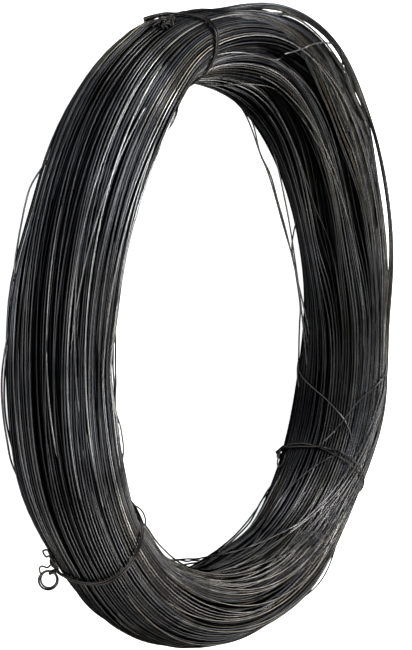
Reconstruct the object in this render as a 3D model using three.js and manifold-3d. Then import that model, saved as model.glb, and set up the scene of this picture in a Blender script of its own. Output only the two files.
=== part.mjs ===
// A coil of thin black annealed steel wire, lying on its end, with three ties of doubled wire.
//
// The coil's axis is Z, which is up. Angles round the coil are in degrees from +X towards +Y.
// Angles round the bundle's own section are in degrees too: 0 is the outside of the coil, 90 its
// underside, 180 its bore and 270 its upper end. Lengths are in millimetres. The origin is under the
// middle of the coil's overall length and breadth, on the surface it lies on.

import * as THREE from 'three';
import { mergeVertices } from 'three/addons/utils/BufferGeometryUtils.js';
import Module from 'manifold-3d';

const wasm = await Module();
wasm.setup();

// ---------------------------------------------------------------- the bundle

const wireDiameter = 1.6;
const meanRadius = 240;         // from the coil's axis to the middle of the bundle
const bundleDepth = 76;         // from the outside of the bundle to its bore
const bundleWidth = 84.5;       // along the coil's axis
const restHeight = 40;          // from the floor to the coil's middle plane, the lowest turns being pressed
const pressDepth = 2.5;         // how far those would reach under the floor if they weren't, at most
const sectionSquareness = 2.2;  // 2 is an ellipse, more is squarer

const turnRidges = 24;          // groups of turns that stand out round the section
const ridgeDepth = 3.6;         // valley between two groups
const stationSpacing = 5.2;     // degrees round the coil, at most

// ------------------------------------------------------- the ties and stretches

const tieGap = 0.3;             // between a tie and the turns under it, and between it and the floor
const tieSpacing = wireDiameter + 0.6;      // between the two strands of a tie's doubled wire
const knotSpacing = 0.9 * wireDiameter;     // and where they bite together at the knot
const knotShare = 0.08;         // of a tie's round, over which its strands run together to the knot
const tieReach = 17.5;          // degrees round the coil over which a tie draws the bundle in
const tieRoom = wireDiameter + 2 * tieGap;  // between the bundle and the floor, for a tie to pass
const twistPitch = 9;           // of the twisted tails
const tailRadius = (wireDiameter / 2) * (1 + Math.SQRT2); // round four strands that lie together
const tailValley = 0.68;        // of that radius, between two strands

// Going round the coil from each tie: the tie itself, and the slack stretch that follows it.
//   angle      where the tie is
//   leanOut    how much further round its outer side lies
//   leanDown   how much further round its underside lies
//   nipDepth, nipWidth     how much smaller the bundle is inside the tie
//   shiftOut, shiftDown    how far the tie has moved the bundle's middle
//   knotAt     where on the section the ends are twisted together
//   tailLength                        the twisted tail, and for each millimetre of it:
//   tailTurn, tailSlide, tailRise     how far it goes round the coil, round the section and off it
//   eye, eyeFacing, eyeReaches        the round eye at its end, how it faces and which way it reaches
//   bow        the stretch's middle, moved away from the axis
//   drop       the stretch's middle, moved down
//   fatten, widen      how much the stretch swells in depth and in width
const ties = [
  {
    name: 'back_tie', angle: 108.5, leanOut: -4.5, leanDown: 4.5,
    nipDepth: 23, nipWidth: 20.1, shiftOut: 1.6, shiftDown: 1.8,
    knotAt: 10, tailLength: 19, tailTurn: 0.7, tailSlide: 0.7, tailRise: 0.05,
    bow: 0, drop: -0.5, fatten: -12.6, widen: -0.5,
  },
  {
    name: 'left_tie', angle: 217, leanOut: 3.5, leanDown: 0,
    nipDepth: 8.2, nipWidth: 5.7, shiftOut: -0.7, shiftDown: -0.4,
    knotAt: 38, tailLength: 9, tailTurn: -0.4, tailSlide: -0.2, tailRise: 0.7,
    eye: 15, eyeFacing: [-0.86, 0.1, 0.5], eyeReaches: [-0.3, -0.95, -0.1],
    bow: -5.8, drop: -5.8, fatten: -8, widen: 1.7,
  },
  {
    name: 'right_tie', angle: 320, leanOut: -1.5, leanDown: 0.3,
    nipDepth: 9.6, nipWidth: 0.5, shiftOut: 0, shiftDown: 0.1,
    knotAt: 130, tailLength: 7, tailTurn: -0.8, tailSlide: 0, tailRise: 0.4,
    bow: 1.1, drop: 1.85, fatten: 40, widen: -7.1,
  },
];

// On the coil's full side the packed turns lie further in, inside a cage of turns that have sprung.
const fanPeak = 30;             // degrees round the coil where the cage stands off most
const fanReach = 52;            // degrees to each side of that
const fanOut = 16;              // from the packed turns to the cage, along the coil's radius
const fanShare = 0.4;           // how far past the top and underside the cage goes on, as a cosine

// There the turns have parted in two places: angle and reach round the coil, the place on the
// section and how far that climbs per degree, the half breadth in degrees, and the depth.
const partings = [
  { angle: 50, reach: 38, side: 252, climb: 0.4, breadth: 8.5, depth: 12 },
  { angle: 44, reach: 34, side: 204, climb: 0.4, breadth: 8, depth: 10 },
];

// Tied by hand, the coil stands fuller in some places and leaner in others: angle and reach round
// the coil, the place and spread round the section, and the rise there.
const swells = [
  { angle: 57, reach: 14, side: 322, spread: 50, rise: 4.2 },
  { angle: 86, reach: 10, side: 5, spread: 55, rise: -8.4 },
  { angle: 111, reach: 4, side: 15, spread: 25, rise: 3 },
  { angle: 116, reach: 9, side: 40, spread: 45, rise: 3.4 },
  { angle: 143, reach: 10, side: 57, spread: 40, rise: -3 },
  { angle: 155, reach: 28, side: 243, spread: 35, rise: 2.2 },
  { angle: 202, reach: 11, side: 50, spread: 35, rise: 2.8 },
  { angle: 260, reach: 14, side: 165, spread: 35, rise: 1.8 },
  { angle: 291, reach: 12, side: 309, spread: 40, rise: 1.6 },
  { angle: 306, reach: 20, side: 121, spread: 40, rise: -2.8 },
  { angle: 335, reach: 11, side: 296, spread: 35, rise: 2.6 },
  { angle: 350, reach: 14, side: 120, spread: 35, rise: 1.8 },
  { angle: 355, reach: 9, side: 302, spread: 35, rise: -3 },
];

// Turns that have sprung clear of the bundle: from and to, round the coil; where on the section
// they start and how far they climb round it, at first slowly; how far they stand off it half way;
// and their share of the way out to the cage.
const looseTurns = [
  { from: 332, to: 97, side: 282, climb: 70, standOff: 0, loft: 1 },
  { from: 330, to: 98, side: 292, climb: 70, standOff: 0, loft: 1 },
  { from: 334, to: 96, side: 303, climb: 70, standOff: 0, loft: 1 },
  { from: 336, to: 94, side: 240, climb: 70, standOff: 0, loft: 0.85 },
  { from: 333, to: 95, side: 253, climb: 70, standOff: 0, loft: 0.85 },
  { from: 331, to: 95, side: 264, climb: 70, standOff: 0, loft: 0.85 },
  { from: 335, to: 93, side: 0, climb: 70, standOff: 0, loft: 0.9 },
  { from: 128, to: 184, side: 12, climb: 0, standOff: 5, loft: 0 },
  { from: 166, to: 206, side: 20, climb: 0, standOff: 4, loft: 0 },
  { from: 150, to: 205, side: 205, climb: 0, standOff: 4, loft: 0 },
  { from: 230, to: 300, side: 170, climb: 0, standOff: 5, loft: 0 },
];
const looseSteps = 20;
const looseRoot = 3.5;          // how far below the surface a loose turn leaves the bundle

const strandSides = 5;
const tieSteps = 40;
const tailStep = 2;             // along a twisted tail
const eyeSteps = 20;

const steel = new THREE.MeshStandardMaterial({ color: 0x37373a, roughness: 0.5, metalness: 0.85 });
const tieSteel = new THREE.MeshStandardMaterial({ color: 0x2b2a2b, roughness: 0.55, metalness: 0.85 });

// ------------------------------------------------------------------- helpers

const radians = THREE.MathUtils.degToRad;

// The shortest way round from one angle to another, in degrees.
function turnBetween(from, to) {
  return THREE.MathUtils.euclideanModulo(to - from + 180, 360) - 180;
}

// A closed geometry as a solid that can be joined and cut.
function toSolid(geometry) {
  const bare = geometry.clone();
  bare.deleteAttribute('normal');
  bare.deleteAttribute('uv');
  const merged = mergeVertices(bare, 1e-3);
  return new wasm.Manifold(new wasm.Mesh({
    numProp: 3,
    vertProperties: Float32Array.from(merged.attributes.position.array),
    triVerts: Uint32Array.from(merged.index.array),
  }));
}

function fromSolid(solid) {
  const mesh = solid.getMesh();
  const geometry = new THREE.BufferGeometry();
  geometry.setAttribute('position', new THREE.BufferAttribute(mesh.vertProperties, 3));
  geometry.setIndex(new THREE.BufferAttribute(mesh.triVerts, 1));
  geometry.computeVertexNormals();
  return geometry;
}

// Pieces joined to one body. Specks that a join leaves, far smaller than the wire, are not kept.
function joined(solids) {
  const bodies = solids.reduce((whole, solid) => whole.add(solid)).decompose();
  return bodies.reduce((largest, body) => (body.volume() > largest.volume() ? body : largest));
}

// A length of wire along a list of points.
function wireAlong(points, steps) {
  const corners = [];
  for (let i = 0; i < strandSides; i += 1) {
    const turn = (2 * Math.PI * i) / strandSides;
    corners.push(new THREE.Vector2(Math.cos(turn), Math.sin(turn)).multiplyScalar(wireDiameter / 2));
  }
  return toSolid(new THREE.ExtrudeGeometry(new THREE.Shape(corners), {
    steps,
    extrudePath: new THREE.CatmullRomCurve3(points),
  }));
}

// ------------------------------------------------------------ the bundle's form

// How strongly each tie grips at an angle round the coil, and how far through each slack stretch
// the angle is, for a place on the section.
function tieAngle(tie, side) {
  return tie.angle + tie.leanOut * Math.cos(radians(side)) + tie.leanDown * Math.sin(radians(side));
}

function bundleAt(angle, side) {
  const form = { radius: meanRadius, down: 0, depth: bundleDepth, width: bundleWidth, room: -pressDepth };
  ties.forEach((tie, i) => {
    const here = tieAngle(tie, side);
    const grip = Math.exp(-((turnBetween(here, angle) / tieReach) ** 2));
    form.radius += grip * tie.shiftOut;
    form.down += grip * tie.shiftDown;
    form.depth -= grip * tie.nipDepth;
    form.width -= grip * tie.nipWidth;
    form.room += grip * (tieRoom + pressDepth);

    const next = tieAngle(ties[(i + 1) % ties.length], side);
    const span = THREE.MathUtils.euclideanModulo(next - here, 360);
    const along = THREE.MathUtils.euclideanModulo(angle - here, 360) / span;
    const slack = along < 1 ? Math.sin(Math.PI * along) ** 2 : 0;
    form.radius += slack * tie.bow;
    form.down += slack * tie.drop;
    form.depth += slack * tie.fatten;
    form.width += slack * tie.widen;
  });
  return form;
}

// How strongly the cage of sprung turns stands off at an angle round the coil.
function fanAt(angle) {
  return Math.exp(-((turnBetween(fanPeak, angle) / fanReach) ** 4));
}

// How deep the turns have parted at a place on the packed bundle.
function partedAt(angle, side) {
  return partings.reduce((depth, parting) => {
    const away = turnBetween(parting.angle, angle);
    const across = turnBetween(parting.side + parting.climb * away, side) / parting.breadth;
    return depth + parting.depth * Math.exp(-((away / parting.reach) ** 4) - across ** 2);
  }, 0);
}

// How far the bundle swells at a place on it.
function swellAt(angle, side) {
  return swells.reduce((height, swell) => {
    const away = turnBetween(swell.angle, angle) / swell.reach;
    const across = turnBetween(swell.side, side) / swell.spread;
    return height + swell.rise * Math.exp(-(away ** 2) - across ** 2);
  }, 0);
}

// A point on the bundle, a given height above the crests of its turns, and a share of the way from
// the packed turns to the cage of sprung ones. Under a tie the bundle is held off the floor by as
// much as the tie needs.
function bundlePoint(angle, side, height, loft = 0) {
  const form = bundleAt(angle, side);
  const power = 2 / sectionSquareness;
  const c = Math.cos(radians(side));
  const s = Math.sin(radians(side));
  const off = height + swellAt(angle, side) - (1 - loft) * partedAt(angle, side);
  const out = Math.sign(c) * Math.abs(c) ** power * (form.depth / 2 + off);
  const down = Math.sign(s) * Math.abs(s) ** power * (form.width / 2 + off);
  const inside = (1 - loft) * fanOut * fanAt(angle) * THREE.MathUtils.clamp(fanShare + c, 0, 1);
  const radius = form.radius + out - inside;
  return new THREE.Vector3(
    radius * Math.cos(radians(angle)),
    radius * Math.sin(radians(angle)),
    Math.max(restHeight - form.down - down, form.room - height),
  );
}

// Stations round the coil, with one on every tie.
function stationAngles() {
  const angles = [];
  ties.forEach((tie, i) => {
    const next = ties[(i + 1) % ties.length];
    const span = THREE.MathUtils.euclideanModulo(next.angle - tie.angle, 360);
    const count = Math.ceil(span / stationSpacing);
    for (let k = 0; k < count; k += 1) angles.push(tie.angle + (span * k) / count);
  });
  angles.push(angles[0] + 360);
  return angles;
}

// A station leans with the tie that grips it.
function leanedAngle(angle, side) {
  return ties.reduce((leaned, tie) => {
    const grip = Math.exp(-((turnBetween(tie.angle, angle) / tieReach) ** 2));
    return leaned + grip * (tieAngle(tie, side) - tie.angle);
  }, angle);
}

// Where the ridges lie: they climb by one ridge in each revolution, as the turns of a coil do, and
// so meet themselves again.
function ridgeSide(step, angle) {
  return (360 * (step / 2 + angle / 360)) / turnRidges;
}

// The wound ring: a ridged profile turned about the axis, then let out of round between the ties.
function woundRing() {
  const steps = 2 * turnRidges;
  const profile = [];
  for (let k = 0; k <= steps; k += 1) {
    const turn = (2 * Math.PI * (k % steps)) / steps;
    const depth = bundleDepth / 2 - (k % 2 ? ridgeDepth : 0);
    const width = bundleWidth / 2 - (k % 2 ? ridgeDepth : 0);
    profile.push(new THREE.Vector2(meanRadius + depth * Math.cos(turn), width * Math.sin(turn)));
  }
  const angles = stationAngles();
  const ring = new THREE.LatheGeometry(profile, angles.length - 1);
  const place = ring.attributes.position;
  for (let i = 0; i < place.count; i += 1) {
    const station = angles[angles.length - 1 - Math.floor(i / profile.length)];
    const step = i % profile.length;
    const side = ridgeSide(step, station);
    const point = bundlePoint(leanedAngle(station, side), side, step % 2 ? -ridgeDepth : 0);
    place.setXYZ(i, point.x, point.y, point.z);
  }
  return toSolid(ring);
}

// The lowest turns are pressed level on the floor.
function pressedOnFloor(solid) {
  const reach = 3 * meanRadius;
  const floor = new THREE.BoxGeometry(reach, reach, bundleWidth);
  floor.translate(0, 0, -bundleWidth / 2);
  return solid.subtract(toSolid(floor));
}

// A turn that leaves the bundle, stands off it and goes back in.
function looseTurn({ from, to, side, climb, standOff, loft }) {
  const points = [];
  const span = THREE.MathUtils.euclideanModulo(to - from, 360);
  for (let k = 0; k <= looseSteps; k += 1) {
    const along = k / looseSteps;
    const rise = Math.sin(Math.PI * along) ** 0.8;
    const height = (standOff + looseRoot) * rise - looseRoot;
    points.push(bundlePoint(from + span * along, side + climb * along ** 2, height, loft));
  }
  return wireAlong(points, looseSteps);
}

// --------------------------------------------------------------------- ties

// One strand of a tie, once round the bundle from one side of the twist to the other.
function tieLoop(tie, strand) {
  const height = tieGap + wireDiameter / 2;
  const points = [];
  for (let k = 0; k <= tieSteps; k += 1) {
    const side = tie.knotAt + (360 * k) / tieSteps;
    const fromKnot = Math.min(k, tieSteps - k) / tieSteps;
    const parted = THREE.MathUtils.smoothstep(fromKnot, 0, knotShare);
    const lift = (1 - parted) * (tailRadius - wireDiameter / 2);
    const apart = THREE.MathUtils.lerp(knotSpacing, tieSpacing, parted) / 2;
    const angle = tieAngle(tie, side) + THREE.MathUtils.radToDeg((strand * apart) / meanRadius);
    const point = bundlePoint(angle, side, height + lift);
    point.z = Math.max(point.z, height);
    points.push(point);
  }
  return wireAlong(points, tieSteps);
}

// The middle line of the tail, at a distance from the knot.
function tailPoint(tie, along) {
  const height = tieGap + tailRadius + tie.tailRise * along;
  const angle = tieAngle(tie, tie.knotAt) + THREE.MathUtils.radToDeg((tie.tailTurn * along) / meanRadius);
  const side = tie.knotAt + THREE.MathUtils.radToDeg((tie.tailSlide * along) / (bundleDepth / 2));
  return bundlePoint(angle, side, height);
}

// The four strands twisted together: their outline, drawn out along the tail and turned as it goes.
function tieTail(tie) {
  const outline = [];
  for (let k = 0; k < 16; k += 1) {
    const radius = tailRadius * [1, 0.9, tailValley, 0.9][k % 4];
    const turn = (2 * Math.PI * k) / 16;
    outline.push(new THREE.Vector2(radius * Math.cos(turn), radius * Math.sin(turn)));
  }
  const steps = Math.ceil(tie.tailLength / tailStep);
  const tail = new THREE.ExtrudeGeometry(new THREE.Shape(outline), {
    depth: tie.tailLength, steps, bevelEnabled: false,
  });
  const direction = tailPoint(tie, tie.tailLength).sub(tailPoint(tie, 0)).normalize();
  const across = new THREE.Vector3(0, 0, 1).cross(direction).normalize();
  const over = direction.clone().cross(across);
  const place = tail.attributes.position;
  for (let i = 0; i < place.count; i += 1) {
    const along = place.getZ(i);
    const spot = new THREE.Vector2(place.getX(i), place.getY(i))
      .rotateAround(new THREE.Vector2(), (2 * Math.PI * along) / twistPitch);
    const point = tailPoint(tie, along).addScaledVector(across, spot.x).addScaledVector(over, spot.y);
    place.setXYZ(i, point.x, point.y, point.z);
  }
  return toSolid(tail);
}

// The tight first crossing, where the strands come together into the twist.
function tieKnot(tie) {
  const knot = new THREE.SphereGeometry(tailRadius, 8, 6);
  const base = tailPoint(tie, 0);
  knot.translate(base.x, base.y, base.z);
  return toSolid(knot);
}

// The bight of the doubled wire, opened to a round eye at the end of the tail: the outline of two
// strands side by side, turned about the way the eye faces.
function tieEye(tie) {
  const outline = [];
  for (let k = 0; k < 10; k += 1) {
    const half = k < 5 ? 1 : -1;
    const turn = half * Math.PI * (-0.1 + 0.3 * (half > 0 ? k : 9 - k));
    const radius = tie.eye / 2 + (wireDiameter / 2) * Math.cos(turn);
    outline.push(new THREE.Vector2(radius, (wireDiameter / 2) * (half + Math.sin(turn))));
  }
  outline.push(outline[0].clone());
  const facing = new THREE.Vector3(...tie.eyeFacing).normalize();
  const across = facing.clone().cross(new THREE.Vector3(...tie.eyeReaches)).normalize();
  const reaches = across.clone().cross(facing);
  const eye = new THREE.LatheGeometry(outline, eyeSteps);
  eye.translate(0, 0, tie.eye / 2);
  eye.applyMatrix4(new THREE.Matrix4().makeBasis(across, facing, reaches)
    .setPosition(tailPoint(tie, tie.tailLength)));
  return toSolid(eye);
}

function tieSolid(tie) {
  const pieces = [tieKnot(tie), tieTail(tie), tieLoop(tie, -1), tieLoop(tie, 1)];
  if (tie.eye) pieces.push(tieEye(tie));
  return joined(pieces);
}

// ------------------------------------------------------------------ the part

const group = new THREE.Group();

function addPiece(name, solid, material) {
  const mesh = new THREE.Mesh(fromSolid(solid), material);
  mesh.name = name;
  group.add(mesh);
}

addPiece('wire_coil', pressedOnFloor(joined([woundRing(), ...looseTurns.map(looseTurn)])), steel);
ties.forEach((tie) => addPiece(tie.name, tieSolid(tie), tieSteel));

// From the coil's axis to the middle of its length and breadth.
const middle = new THREE.Box3().setFromObject(group).getCenter(new THREE.Vector3());
group.children.forEach((mesh) => mesh.position.set(-middle.x, -middle.y, 0));

export default group;
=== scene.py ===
import math

import bpy
import numpy as np
from mathutils import Matrix, Vector


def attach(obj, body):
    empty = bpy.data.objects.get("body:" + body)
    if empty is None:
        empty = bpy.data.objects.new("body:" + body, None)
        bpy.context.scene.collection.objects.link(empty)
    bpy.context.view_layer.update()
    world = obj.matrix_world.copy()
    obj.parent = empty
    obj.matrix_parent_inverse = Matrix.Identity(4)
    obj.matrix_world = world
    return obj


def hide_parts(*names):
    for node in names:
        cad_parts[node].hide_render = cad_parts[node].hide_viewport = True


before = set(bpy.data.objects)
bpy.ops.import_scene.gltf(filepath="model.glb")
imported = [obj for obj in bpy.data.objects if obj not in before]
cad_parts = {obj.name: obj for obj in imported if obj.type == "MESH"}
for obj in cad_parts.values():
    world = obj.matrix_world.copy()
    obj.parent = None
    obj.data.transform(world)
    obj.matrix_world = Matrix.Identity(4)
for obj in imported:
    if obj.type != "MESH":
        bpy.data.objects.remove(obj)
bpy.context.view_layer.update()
print("the packed coil and its ties are loaded")

# the bundle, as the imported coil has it, in metres and degrees: angles round the coil run from +X towards +Y,
# and round its section 0 is outside, 90 under, 180 in the bore and 270 on top

bundle = {
    "axis": (-0.0073, -0.0018),  # the coil's axis, from the middle of its box
    "radius": 0.240,
    "depth": 0.076,
    "width": 0.0845,
    "restHeight": 0.040,
    "pressDepth": 0.0025,
    "squareness": 2.2,
    "tieReach": 17.5,
    "tieRoom": 0.0022,
    "fanOut": 0.016,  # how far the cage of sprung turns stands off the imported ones
    "fanPeak": 30,    # degrees round the coil where it stands off most
    "fanReach": 52,
    "fanShare": 0.4,  # how far past the top and underside it goes on, as a cosine
}

partings = [
    # where the turns have parted: angle and reach round the coil, place on the section and its climb per
    # degree, half breadth in degrees, and depth
    {"angle": 50, "reach": 38, "side": 252, "climb": 0.4, "breadth": 8.5, "depth": 0.012},
    {"angle": 44, "reach": 34, "side": 204, "climb": 0.4, "breadth": 8, "depth": 0.010},
]

swells = [
    # where a coil tied by hand stands fuller or leaner: angle and reach round the coil, place and spread
    # round the section, and rise
    (57, 14, 322, 50, 0.0042), (86, 10, 5, 55, -0.0084), (111, 4, 15, 25, 0.0030),
    (116, 9, 40, 45, 0.0034), (143, 10, 57, 40, -0.0030), (155, 28, 243, 35, 0.0022),
    (153.5, 8, 59, 30, -0.0042), (162, 6, 59, 30, -0.0014), (181.5, 7, 241, 25, -0.0034),
    (214, 7, 230, 22, -0.0030), (233, 10, 218, 38, -0.0054), (251, 11, 190, 30, -0.0075),
    (263, 9, 160, 28, -0.0060), (295, 14, 132, 38, -0.0050), (202, 11, 50, 35, 0.0028),
    (260, 14, 165, 35, 0.0018), (291, 12, 309, 40, 0.0016), (306, 20, 121, 40, -0.0028),
    (335, 11, 296, 35, 0.0026), (350, 14, 120, 35, 0.0018), (355, 9, 302, 35, -0.0030),
    (355, 15, 126, 28, -0.0036),
]

ties = [
    # how each squeezes and shifts the bundle, how the bundle bows, drops and changes from it to the next,
    # and where its knot and tail sit
    {"name": "back_tie", "angle": 108.5, "leanOut": -4.5, "leanDown": 4.5,
     "nipDepth": 0.0230, "nipWidth": 0.0201, "shiftOut": 0.0016, "shiftDown": 0.0018,
     "bow": 0.0, "drop": -0.0005, "fatten": -0.0126, "widen": -0.0005,
     "knotAt": 10, "tailLength": 0.019, "tailTurn": 0.7, "tailSlide": 0.7, "tailRise": 0.05},
    {"name": "left_tie", "angle": 217, "leanOut": 3.5, "leanDown": 0,
     "nipDepth": 0.0082, "nipWidth": 0.0057, "shiftOut": -0.0007, "shiftDown": -0.0004,
     "bow": -0.0058, "drop": -0.0058, "fatten": -0.0080, "widen": 0.0017,
     "knotAt": 38, "tailLength": 0.009, "tailTurn": -0.4, "tailSlide": -0.2, "tailRise": 0.7},
    {"name": "right_tie", "angle": 320, "leanOut": -1.5, "leanDown": 0.3,
     "nipDepth": 0.0096, "nipWidth": 0.0005, "shiftOut": 0.0, "shiftDown": 0.0001,
     "bow": 0.0011, "drop": 0.0011, "fatten": 0.0400, "widen": -0.0086,
     "knotAt": 130, "tailLength": 0.007, "tailTurn": -0.8, "tailSlide": 0.0, "tailRise": 0.4},
]

wireRadius = 0.00078
floorRoom = 0.0001  # under the lowest wires


def cosine(degrees):
    return np.cos(np.radians(degrees))


def sine(degrees):
    return np.sin(np.radians(degrees))


def smoothstep(value, top):
    share = np.clip(value / top, 0, 1)
    return share * share * (3 - 2 * share)


def turnBetween(start, end):
    # the shortest way round from one angle to another
    return (end - start + 180) % 360 - 180


def bell(middle, reach, angle, power=2):
    # one at the middle angle and nothing well past the reach, flatter on top with a higher power
    return np.exp(-(turnBetween(middle, angle) / reach) ** power)


def tieAngle(tie, side):
    # a tie leans: its angle round the coil changes with the place on the section
    return tie["angle"] + tie["leanOut"] * cosine(side) + tie["leanDown"] * sine(side)


def gripAt(angle, side=0.0):
    # a bell curve at each tie, one at the tie itself and nothing half a stretch away
    return np.max([bell(tieAngle(tie, side), bundle["tieReach"], angle) for tie in ties], axis=0)


def fanAt(angle):
    # a bell curve over the full side, where the outer turns have sprung
    return bell(bundle["fanPeak"], bundle["fanReach"], angle, 4)


def acrossParting(parting, angle, side):
    # how far along and across a parting a place is, in shares of its reach and half breadth
    away = turnBetween(parting["angle"], angle)
    across = turnBetween(parting["side"] + parting["climb"] * away, side)
    return away / parting["reach"], across / parting["breadth"]


def bundlePoint(angle, side, height, loft=0.0):
    # an oval section, squeezed and shifted by each tie's bell curve and let out between ties by a squared
    # sine; height is added to both half axes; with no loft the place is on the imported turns, and with a
    # loft of one it is on the cage of sprung turns, fanOut further out; no wire sinks into the floor
    radius = np.full(np.broadcast(angle, side).shape, bundle["radius"])
    down = np.zeros(radius.shape)
    depth = np.full(radius.shape, bundle["depth"])
    width = np.full(radius.shape, bundle["width"])
    room = np.full(radius.shape, -bundle["pressDepth"])
    for i, tie in enumerate(ties):
        here = tieAngle(tie, side)
        grip = bell(here, bundle["tieReach"], angle)
        radius += grip * tie["shiftOut"]
        down += grip * tie["shiftDown"]
        depth -= grip * tie["nipDepth"]
        width -= grip * tie["nipWidth"]
        room += grip * (bundle["tieRoom"] + bundle["pressDepth"])
        span = (tieAngle(ties[(i + 1) % len(ties)], side) - here) % 360
        along = ((angle - here) % 360) / span
        slack = np.where(along < 1, np.sin(np.pi * np.minimum(along, 1)) ** 2, 0)
        radius += slack * tie["bow"]
        down += slack * tie["drop"]
        depth += slack * tie["fatten"]
        width += slack * tie["widen"]
    for parting in partings:
        along, across = acrossParting(parting, angle, side)
        height = height - (1 - loft) * parting["depth"] * np.exp(-along ** 4 - across ** 2)
    for middle, reach, place, spread, rise in swells:
        along, across = turnBetween(middle, angle) / reach, turnBetween(place, side) / spread
        height = height + rise * np.exp(-along ** 2 - across ** 2)
    c, s = cosine(side), sine(side)
    power = 2 / bundle["squareness"]
    out = np.sign(c) * np.abs(c) ** power * (depth / 2 + height)
    below = np.sign(s) * np.abs(s) ** power * (width / 2 + height)
    out = out - (1 - loft) * bundle["fanOut"] * fanAt(angle) * np.clip(bundle["fanShare"] + c, 0, 1)
    radius = radius + out
    up = np.maximum(bundle["restHeight"] - down - below, np.maximum(room, 0) - np.minimum(height, 0))
    return np.stack([bundle["axis"][0] + radius * cosine(angle),
                     bundle["axis"][1] + radius * sine(angle),
                     np.maximum(up, wireRadius + floorRoom)], axis=-1)


def newPiece(name, points, quads, caps, material):
    # one mesh object at the origin from arrays of corners, four-sided faces and end caps
    mesh = bpy.data.meshes.new(name)
    mesh.from_pydata(points.reshape(-1, 3), [], quads.tolist() + caps)
    mesh.shade_smooth()
    mesh.materials.append(material)
    piece = bpy.data.objects.new(name, mesh)
    bpy.context.scene.collection.objects.link(piece)
    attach(piece, "root")
    return piece


def tubeAlong(path, radius, sides, outward):
    # a ring of corners round each point of a path, square to it: the path's tangent from its neighbours,
    # the first axis is the outward direction made square to the tangent, the second is across both
    tangent = np.gradient(path, axis=0)
    tangent /= np.linalg.norm(tangent, axis=1, keepdims=True)
    first = outward - tangent * np.sum(outward * tangent, axis=1, keepdims=True)
    first /= np.linalg.norm(first, axis=1, keepdims=True)
    second = np.cross(tangent, first)
    turn = 2 * np.pi * np.arange(sides) / sides
    ring = np.cos(turn)[:, None] * first[:, None, :] + np.sin(turn)[:, None] * second[:, None, :]
    corners = path[:, None, :] + ring * radius
    step = np.arange(len(path) - 1)[:, None] * sides
    k = np.arange(sides)[None, :]
    after = (k + 1) % sides
    quads = np.stack([step + k, step + after, step + sides + after, step + sides + k], axis=-1)
    last = (len(path) - 1) * sides
    caps = [list(range(sides))[::-1], [last + j for j in range(sides)]]
    return corners.reshape(-1, 3), quads.reshape(-1, 4), caps


def openTube(angle, side, height, loft, sides, radius=wireRadius):
    # a length of wire through places on the bundle; outward is towards the place a millimetre higher, with
    # a nudge so that it isn't nothing where the floor holds both at one height
    path = bundlePoint(angle, side, height, loft)
    outward = bundlePoint(angle, side, height + 0.001, loft) - path
    outward += 1e-6 * np.stack([cosine(angle), sine(angle), np.full(len(path), 0.3)], axis=-1)
    return tubeAlong(path, radius, sides, outward)


def joinedTubes(tubes):
    # several tubes' corners, faces and caps as one set of arrays
    corners, quads, caps, first = [], [], [], 0
    for tubeCorners, tubeQuads, tubeCaps in tubes:
        corners.append(tubeCorners)
        quads.append(tubeQuads + first)
        caps += [[corner + first for corner in cap] for cap in tubeCaps]
        first += len(tubeCorners)
    return np.concatenate(corners), np.concatenate(quads), caps


def through(knots, steps):
    # a smooth line through the knots, by the usual cubic between each two (Catmull and Rom's)
    knots = np.asarray(knots, float)
    padded = np.concatenate([[2 * knots[0] - knots[1]], knots, [2 * knots[-1] - knots[-2]]])
    before, start, end, after = padded[:-3, None], padded[1:-2, None], padded[2:-1, None], padded[3:, None]
    t = (np.arange(steps) / steps)[None, :, None]
    line = 0.5 * (2 * start + (end - before) * t + (2 * before - 5 * start + 4 * end - after) * t ** 2
                  + (3 * start - before - 3 * end + after) * t ** 3)
    return np.concatenate([line.reshape(-1, knots.shape[1]), knots[-1:]])


def unwound(knots):
    # the knots' angles made to run on past 360 instead of starting again
    knots = np.array(knots, float)
    knots[:, 0] = np.degrees(np.unwrap(np.radians(knots[:, 0])))
    return knots


def addTone(piece, tone, warmth):
    # how bright and how brown the steel is at each corner, from none to one
    for name, values in (("tone", tone), ("warmth", warmth)):
        attribute = piece.data.attributes.new(name, "FLOAT", "POINT")
        attribute.data.foreach_set("value", np.clip(values, 0, 1).astype(np.float32))


def linear(hexColour):
    # an sRGB hex colour as linear light
    parts = [int(hexColour[i:i + 2], 16) / 255 for i in (1, 3, 5)]
    return (*[p / 12.92 if p <= 0.04045 else ((p + 0.055) / 1.055) ** 2.4 for p in parts], 1)


def addNode(tree, kind, inputs=None, **settings):
    # a node with its settings; an input is a value, or a socket to link from
    node = tree.nodes.new(kind)
    for name, value in settings.items():
        setattr(node, name, value)
    for name, value in (inputs or {}).items():
        if isinstance(value, bpy.types.NodeSocket):
            tree.links.new(value, node.inputs[name])
        else:
            node.inputs[name].default_value = value
    return node


def newMaterial(name):
    material = bpy.data.materials.new(name)
    material.use_nodes = True
    tree = material.node_tree
    return material, tree, tree.nodes["Principled BSDF"]


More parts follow.
